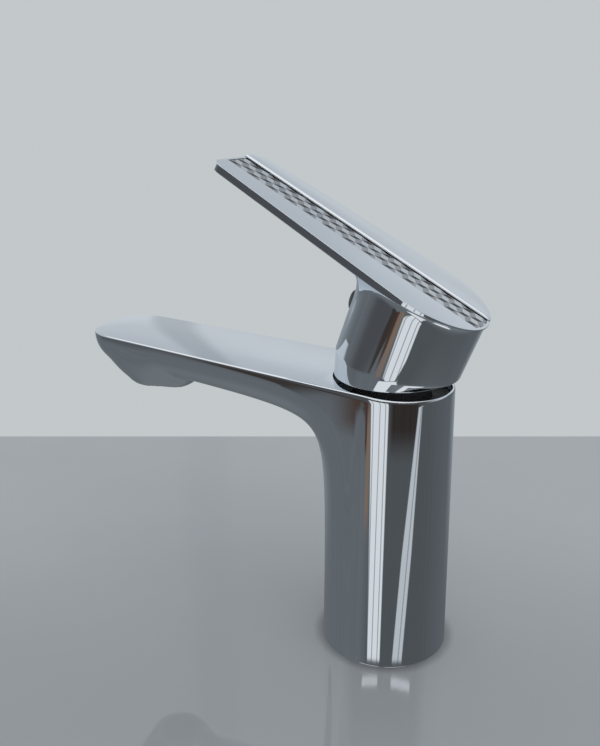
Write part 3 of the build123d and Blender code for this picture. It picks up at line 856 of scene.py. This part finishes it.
def handle_column(along, across, top, normal):
    """One column from the plate's top edge, under the plate, down the flank and up inside the skirt."""
    angle = math.atan2(across, along - neck_reach)
    forward, sideways = math.cos(angle), math.sin(angle)
    round_top = 0.14
    thinned = soft((abs(angle) - thin_start) / thin_span)
    plate_depth = lever_thickness - (lever_thickness - rear_edge) * thinned
    round_low = min(0.45, plate_depth * 0.3)

    def rounded(radius, level, sign, bends):
        return [on_lever(along - normal[0] * back, across - normal[1] * back, level + sign * rise)
                for back, rise in zip(radius * (1 - np.cos(bends)), radius * (1 - np.sin(bends)))]

    rows = rounded(round_top, top, -1, np.linspace(math.pi / 2, 0, 5))
    rows += [on_lever(along, across, up) for up in (top - round_top - 0.05, round_low - plate_depth + 0.05)]
    rows += rounded(round_low, -plate_depth, 1, np.linspace(0, math.pi / 2, 6))
    room_out = math.hypot(along - neck_reach, across) - neck_radius
    flare = min(flare_radius, max(least_flare, room_out - 0.9))
    reach = heel_shift + heel_half_length * forward
    heel = np.array([heel_half_width * sideways, -reach, bend_height + reach * math.tan(bend_turn)])
    high = on_lever(neck_reach + neck_radius * forward, neck_radius * sideways, 0.5 - lever_thickness)
    slant = unit(heel - high)
    corner = high + slant * ((0.5 - lever_thickness + plate_depth) / -np.dot(slant, lever_up))
    flare_out = min(flare, room_out - round_low - 0.12)
    spread = neck_radius + flare_out
    out = on_lever(neck_reach + spread * forward, spread * sideways, -plate_depth)
    down = corner + slant * flare
    edge = rows[-1]
    rows += [edge + (out - edge) * share for share in (0.35, 0.7)]
    rows += curve(out, corner, down, 11)
    low = np.array([rim_radius * sideways, -rim_radius * forward, rim_height])
    up_point = heel + unit(high - heel) * heel_round * 1.3
    down_point = heel + unit(low - heel) * heel_round
    rows += [down + (up_point - down) * share for share in np.linspace(0, 1, 7)[1:-1]]
    rows += curve(up_point, heel, down_point, 8)
    inward = -np.array([sideways, -forward, 0.0])
    rim_round = min(0.45, 0.5 * (down_point[2] - rim_height))
    start = low + np.array([0, 0, rim_round])
    rows += [down_point + (start - down_point) * share for share in (0.06, 0.5, 0.94)]
    for bend_angle in np.linspace(0, math.pi / 2, 7):
        rows.append(low + inward * rim_round * (1 - math.cos(bend_angle))
                    + np.array([0, 0, rim_round * (1 - math.sin(bend_angle))]))
    inner = rim_radius - handle_wall
    rows.append(np.array([inner * sideways, -inner * forward, rim_height]))
    inner_reach = heel_shift + (heel_half_length - handle_wall) * forward
    rows.append(np.array([(heel_half_width - handle_wall) * sideways, -inner_reach,
                          bend_height + inner_reach * math.tan(bend_turn)]))
    inner = neck_radius - neck_wall
    rows.append(on_lever(neck_reach + inner * forward, inner * sideways, -lever_thickness - ceiling_drop))
    return rows


# %% Build the handle
normals = outward_normals(outline[:, :2], lever_middle)
normals[np.abs(outline[:, 0] - lever_tip) < 1e-6] = (1.0, 0.0)
handle = bmesh.new()
columns = [handle_column(a, b, h, normal) for (a, b, h), normal in zip(outline, normals)]
grid = add_grid(handle, columns, closed=True)
fill_between(handle, row_of(grid, -1))

step_foot = step_profile()[0][0]
step_tip, step_rear = [index for index, (_, across, top) in enumerate(outline)
                       if abs(across - step_foot) < 1e-9 and top == 0.0]
tops = row_of(columns, 0)
lines = np.linspace(0, 1, 41)
step_lines = [[tops[step_tip + k] * (1 - share) + tops[step_rear - k] * share for share in lines]
              for k in range(step_count)]
add_grid(handle, step_lines)
far_ring = tops[step_tip + step_count - 1:step_rear - step_count + 2] + step_lines[-1][::-1][1:-1]
fill_between(handle, loose_corners(handle, far_ring))
near_ring = tops[step_rear:] + tops[:step_tip + 1] + step_lines[0][1:-1]
print("raised strip ring:", len(far_ring), "near ring:", len(near_ring))


def clipped(points, low, high):
    """Closed outline cut to a band across the lever."""
    loop = [tuple(point) for point in points]
    for sign, limit in ((1, high), (-1, -low)):
        kept = []
        for first, second in zip(loop, loop[1:] + loop[:1]):
            inside, after = sign * first[1] <= limit, sign * second[1] <= limit
            if inside:
                kept.append(first)
            if inside != after:
                share = (limit - sign * first[1]) / (sign * second[1] - sign * first[1])
                kept.append((first[0] + (second[0] - first[0]) * share, sign * limit))
        loop = kept
    return np.array(loop)


def band_outline(inset, shrink):
    half = lever_outline(inset)
    whole = np.concatenate([half, half[::-1][1:-1] * [1, -1]])
    return clipped(whole, inlay_far + shrink, inlay_near - shrink)


pocket = band_outline(inlay_inset, 0.0)
pocket_walls = [[on_lever(a, b, 0.0), on_lever(a, b, -inlay_depth)] for a, b in pocket]
pocket_grid = add_grid(handle, pocket_walls, closed=True)
fill_between(handle, loose_corners(handle, near_ring), row_of(pocket_grid, 0))
fill_between(handle, row_of(pocket_grid, -1))
handle_skin = close_piece(handle, "handle_skin", chrome, "handle")
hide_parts("handle_shell")

# %% [markdown]
# ## Relief strip
# Let into the lever is a strip pressed with the old tumbling-blocks pattern: six-sided cells, each made of
# three diamonds that lean different ways. One cell is a fan of six triangles with its middle raised and
# every second corner lowered. Geometry Nodes repeats it on two interleaved grids, and the strip is then cut
# to its outline.


# %% Relief tree
def open_tree(name, sockets):
    """Empty Geometry Nodes tree, and its named inputs."""
    tree = bpy.data.node_groups.new(name, "GeometryNodeTree")
    for label, kind in sockets.items():
        tree.interface.new_socket(label, in_out="INPUT", socket_type="NodeSocket" + kind)
    tree.interface.new_socket("Geometry", in_out="OUTPUT", socket_type="NodeSocketGeometry")
    flow = Flow(tree)
    given = flow.add("NodeGroupInput").socket.node
    return flow, {socket.name: Flow(tree, socket) for socket in given.outputs if socket.name}


def close_tree(geometry, finish):
    """Tree that ends in this geometry, realized and with its finish."""
    geometry = geometry.add("GeometryNodeRealizeInstances", inputs={"Geometry": geometry})
    geometry = geometry.add("GeometryNodeSetMaterial", inputs={"Geometry": geometry, "Material": finish})
    geometry.add("NodeGroupOutput", inputs={"Geometry": geometry})
    return geometry.tree


def relief_tree():
    flow, value = open_tree("tumbling_relief", {
        "Facet Length": "Float", "Facet Width": "Float", "Relief": "Float",
        "Along": "Int", "Across": "Int", "Finish": "Material"})
    cell = flow.add("GeometryNodeMeshCircle", {"fill_type": "TRIANGLE_FAN"}, {"Vertices": 6, "Radius": 1.0})
    index = flow.add("GeometryNodeInputIndex")
    middle = flow.math("GREATER_THAN", index, 5.5)
    odd = flow.math("MODULO", index, 2.0) * (1.0 - middle)
    rise = flow.vector(Z=(middle - odd) * value["Relief"])
    cell = flow.add("GeometryNodeSetPosition", inputs={"Geometry": cell, "Offset": rise})
    facet = flow.math("FLOOR", index / 2.0)
    cell = flow.add("GeometryNodeStoreNamedAttribute", {"data_type": "FLOAT", "domain": "FACE"},
                    {"Geometry": cell, "Name": "facet", "Value": facet})
    pitch_along, pitch_across = value["Facet Length"] * 3.0, value["Facet Width"] * math.sqrt(3.0)
    lattice = flow.add("GeometryNodeMeshGrid", inputs={
        "Size X": pitch_along * (value["Along"] - 1.0), "Size Y": pitch_across * (value["Across"] - 1.0),
        "Vertices X": value["Along"], "Vertices Y": value["Across"]})
    shift = flow.vector(X=pitch_along / 2.0, Y=pitch_across / 2.0)
    second = flow.add("GeometryNodeTransform", inputs={"Geometry": lattice, "Translation": shift})
    both = flow.add("GeometryNodeJoinGeometry", inputs={"Geometry": [lattice, second]})
    size = flow.vector(X=value["Facet Length"], Y=value["Facet Width"], Z=1.0)
    cells = flow.add("GeometryNodeInstanceOnPoints", inputs={"Points": both, "Instance": cell, "Scale": size})
    return close_tree(cells, value["Finish"])


def grown_mesh(tree, values):
    """Plain mesh that a Geometry Nodes tree makes from these values."""
    holder = placed("grown", bpy.data.meshes.new("grown"))
    modifier = holder.modifiers.new("tree", "NODES")
    modifier.node_group = tree
    for item in tree.interface.items_tree:
        if item.in_out == "INPUT" and item.name in values:
            modifier[item.identifier] = values[item.name]
    bpy.context.view_layer.update()
    graph = bpy.context.evaluated_depsgraph_get()
    mesh = bpy.data.meshes.new_from_object(holder.evaluated_get(graph), preserve_all_data_layers=True,
                                           depsgraph=graph)
    holder.modifiers.clear()
    bpy.data.objects.remove(holder)
    return mesh


print("relief tree ready")

# %% [markdown]
# The strip's finish is satin chrome. The relief is too flat to part the three diamonds of a cell by light
# alone, so their light and shade is painted: each diamond gets a painted lit, middle or shaded tone. The tree
# stores which diamond a face belongs to, and the material reads that attribute for its base colour. A lowered
# Specular Tint keeps the dark ones dark at a flat angle.
# Along the step of the plate the tone is painted down to near black, because the corner is too fine for its
# shadow to show. The cells are shifted as a whole, so that the middle of one dark diamond lies at a chosen
# place.


# %% Relief strip
def relief_finish_and_shading():
    material, flow, place = open_finish("textured_chrome")
    facet = flow.add("ShaderNodeAttribute", {"attribute_name": "facet"}, output="Fac")
    drift = noise(place, 4000.0, 2.0)
    # Painted light and shade: each diamond of a cell gets a lit, a middle or a shaded tone by its facet
    # number.
    tone = flow.add("ShaderNodeValToRGB", {"stops": [(0.0, (0.86, 0.90, 0.94)), (0.5, (0.52, 0.54, 0.56)),
                                                     (1.0, (0.11, 0.115, 0.12))]},
                    {"Fac": facet / 2.0})
    across = place.axes()[0]
    beside_step = across.ease((inlay_far + 1.05) * MM, (inlay_far + 0.85) * MM)
    colour = beside_step.mix((drift * 0.05).mix(tone, (0.62, 0.65, 0.68)), (0.005, 0.005, 0.006))
    bump = flow.add("ShaderNodeBump", inputs={"Strength": 0.02, "Distance": 0.00005, "Height": drift})
    close_finish(flow, Base_Color=colour, Roughness=drift * 0.06 + 0.20, Metallic=1.0, Normal=bump,
                 Specular_Tint=(0.55, 0.55, 0.55, 1.0))
    return material


facet_length, facet_width, relief, strip_sink = 2.73, 3.19, 0.13, 0.04
cells_along, cells_across, cells_aside = 17, 6, 5
strip_finish_and_shading = relief_finish_and_shading()
cells = grown_mesh(relief_tree(), {"Facet Length": facet_length * MM, "Facet Width": facet_width * MM,
                                   "Relief": relief * MM, "Along": cells_along, "Across": cells_across,
                                   "Finish": strip_finish_and_shading})
strip_mesh = bmesh.new()
strip_mesh.from_mesh(cells)
bpy.data.meshes.remove(cells)
bmesh.ops.remove_doubles(strip_mesh, verts=strip_mesh.verts, dist=2e-5)
dark_place, dark_diamond = np.array([-27.6, -0.5]), np.array([0.25, -0.433])
shift = dark_place - dark_diamond * [facet_length, facet_width] + [cells_aside * 3 * facet_length, 0]
for vertex in strip_mesh.verts:
    vertex.co += Vector((*shift, -relief - strip_sink)) * MM
edge_points = band_outline(inlay_inset, 0.05)
for (a0, b0), (a1, b1) in zip(edge_points, np.roll(edge_points, -1, 0)):
    step = np.array([a1 - a0, b1 - b0])
    if np.linalg.norm(step) < 1e-6:
        continue
    normal = np.array([step[1], -step[0]])
    if np.dot(normal, np.array([a0, b0]) - lever_middle) < 0:
        normal = -normal
    everything = strip_mesh.verts[:] + strip_mesh.edges[:] + strip_mesh.faces[:]
    bmesh.ops.bisect_plane(strip_mesh, geom=everything, dist=1e-8, plane_co=(a0 * MM, b0 * MM, 0),
                           plane_no=(*unit(normal), 0), clear_outer=True)
rim_edges = [edge for edge in strip_mesh.edges if len(edge.link_faces) == 1]
dropped = bmesh.ops.extrude_edge_only(strip_mesh, edges=rim_edges)["geom"]
for vertex in {item for item in dropped if isinstance(item, bmesh.types.BMVert)}:
    vertex.co.z = -inlay_depth * MM
floor_edges = [edge for edge in strip_mesh.edges if len(edge.link_faces) == 1]
bmesh.ops.triangle_fill(strip_mesh, use_beauty=True, edges=floor_edges)
for vertex in strip_mesh.verts:
    vertex.co = Vector(on_lever(*(np.array(vertex.co) / MM))) * MM
relief_strip = close_piece(strip_mesh, "relief_strip", strip_finish_and_shading, "handle", sharp=2.0)
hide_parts("lever_inlay")

# %% [markdown]
# ## Wire screen
# Above the honeycomb of the outlet insert lies a woven wire screen. Two crossing sets of thin rods, cut to
# the circle by scaling each rod to its chord, give it. Geometry Nodes places and scales them on a line of
# points.


# %% Wire screen
def screen_tree():
    spread, crossing = 0.97, 1.6
    flow, value = open_tree("wire_screen", {
        "Radius": "Float", "Wire": "Float", "Count": "Int", "Finish": "Material"})
    rod = flow.add("GeometryNodeMeshCylinder", inputs={"Vertices": 6, "Radius": 1.0, "Depth": 2.0})
    rod = flow.add("GeometryNodeTransform", inputs={"Geometry": rod, "Rotation": (math.pi / 2, 0, 0)})
    index = flow.add("GeometryNodeInputIndex")
    place = value["Radius"] * spread * (2.0 * (index + 0.5) / value["Count"] - 1.0)
    line = flow.add("GeometryNodeMeshLine", inputs={"Count": value["Count"]})
    spot = flow.vector(X=place)
    line = flow.add("GeometryNodeSetPosition", inputs={"Geometry": line, "Position": spot})
    chord = flow.math("SQRT", value["Radius"] * value["Radius"] - place * place)
    size = flow.vector(X=value["Wire"], Y=chord, Z=value["Wire"])
    rods = flow.add("GeometryNodeInstanceOnPoints", inputs={"Points": line, "Instance": rod, "Scale": size})
    lift_up = flow.vector(Z=value["Wire"] * crossing)
    crossed = flow.add("GeometryNodeTransform",
                       inputs={"Geometry": rods, "Translation": lift_up, "Rotation": (0, 0, math.pi / 2)})
    both = flow.add("GeometryNodeJoinGeometry", inputs={"Geometry": [rods, crossed]})
    return close_tree(both, value["Finish"])


screen_low, screen_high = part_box("aerator_screen")
screen_radius = (screen_high.x - screen_low.x) / 2
wire_radius, wire_count, wire_lift, screen_share = 0.11, 21, 0.12, 0.985
screen = placed("wire_screen", grown_mesh(screen_tree(), {
    "Radius": screen_radius * screen_share, "Wire": wire_radius * MM, "Count": wire_count,
    "Finish": finishes["steel"]}))
for vertex in screen.data.vertices:
    vertex.co += Vector((0, (screen_low.y + screen_high.y) / 2, screen_low.z + wire_lift * MM))
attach(screen, "body")
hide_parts("aerator_screen")
print("wire screen of", len(screen.data.polygons), "faces")

# %% [markdown]
# ## The pieces that keep their CAD shape
# Gaskets, seals, discs, the cartridge and the outlet insert are right as they are. Each takes the finish
# that the record names for it.

# %% Finishes of the CAD pieces
for entry in frame["record"]["subparts"]:
    finish = finishes.get(entry["material_slot"])
    if finish is not None:
        mesh = nodes[entry["node"]].data
        mesh.materials.clear()
        mesh.materials.append(finish)
bare = [name for name, piece in nodes.items() if not piece.hide_render and piece.data.materials[0] not in
        finishes.values()]
print("pieces still bare:", bare)
